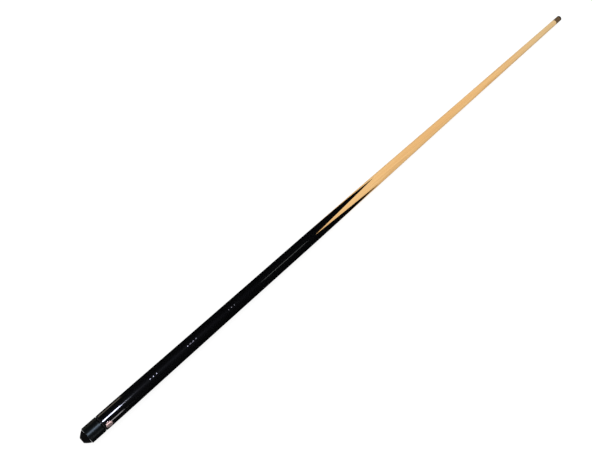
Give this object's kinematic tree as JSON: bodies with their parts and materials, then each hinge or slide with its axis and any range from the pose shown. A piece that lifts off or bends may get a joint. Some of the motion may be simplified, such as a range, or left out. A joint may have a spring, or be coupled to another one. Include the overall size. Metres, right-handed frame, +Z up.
{
  "type": "pool cue",
  "caption": "One-piece pool cue: a black lacquered butt with cap, blank badge and inlaid marks, spliced to a maple shaft with ferrule and leather tip, and a screwed-on rubber bumper.",
  "frame": {"origin": "middle of the cue's length, on the surface that the butt cap rests on, straight below the cue's axis", "axes": "+X along the cue from the butt end to the tip, +Z up; the marked side of the butt faces up and a little towards -Y"},
  "size_m": [1.448, 0.0311, 0.031],
  "materials": {
    "maple": "pale orange-tan hard maple with fine straight grain under a thin satin finish",
    "black_lacquer": "black-dyed hardwood under deep gloss lacquer",
    "cap_plastic": "satin black moulded plastic with a dull grey sheen",
    "bumper_rubber": "matte black rubber",
    "ferrule_plastic": "satin brown-black ferrule plastic",
    "fibre": "dark vulcanised fibre",
    "tip_leather": "dark burnished leather, chalk-dulled crown",
    "badge_metal": "satin rose-gold, blank",
    "pearl": "silver-grey pearl inlay",
    "steel": "zinc-plated steel",
    "dowel_wood": "bare birch dowel"
  },
  "bodies": {
    "cue": {"butt": "black_lacquer", "maple_shaft": "maple", "butt_cap": "cap_plastic", "weight_bolt": "steel", "bore_plug": "dowel_wood", "badge": "badge_metal", "ferrule": "ferrule_plastic", "tip_pad": "fibre", "leather_tip": "tip_leather", "dot_mark_1": "pearl", "dot_mark_2": "pearl", "dot_mark_3": "pearl", "dot_mark_4": "pearl", "dot_mark_5": "pearl", "dot_mark_6": "pearl", "lozenge_mark_1": "pearl", "lozenge_mark_2": "pearl", "lozenge_mark_3": "pearl", "lozenge_mark_4": "pearl"},
    "bumper": {"rubber_bumper": "bumper_rubber", "bumper_washer": "steel"},
    "bumper_screw": {"bumper_screw": "steel"}
  },
  "joints": [
    {"name": "bumper_travel", "type": "slide", "parent": "cue", "child": "bumper", "axis": [-1, 0, 0], "range_m": [0, 0.0192]},
    {"name": "screw_turn", "type": "hinge", "parent": "bumper", "child": "bumper_screw", "pos_m": [-0.709, 0, 0.0155], "axis": [-1, 0, 0], "range_deg": [0, 4320]}
  ],
  "couplings": [
    {"joint": "screw_turn", "follows": "bumper_travel", "rad_per_m": 3927}
  ]
}
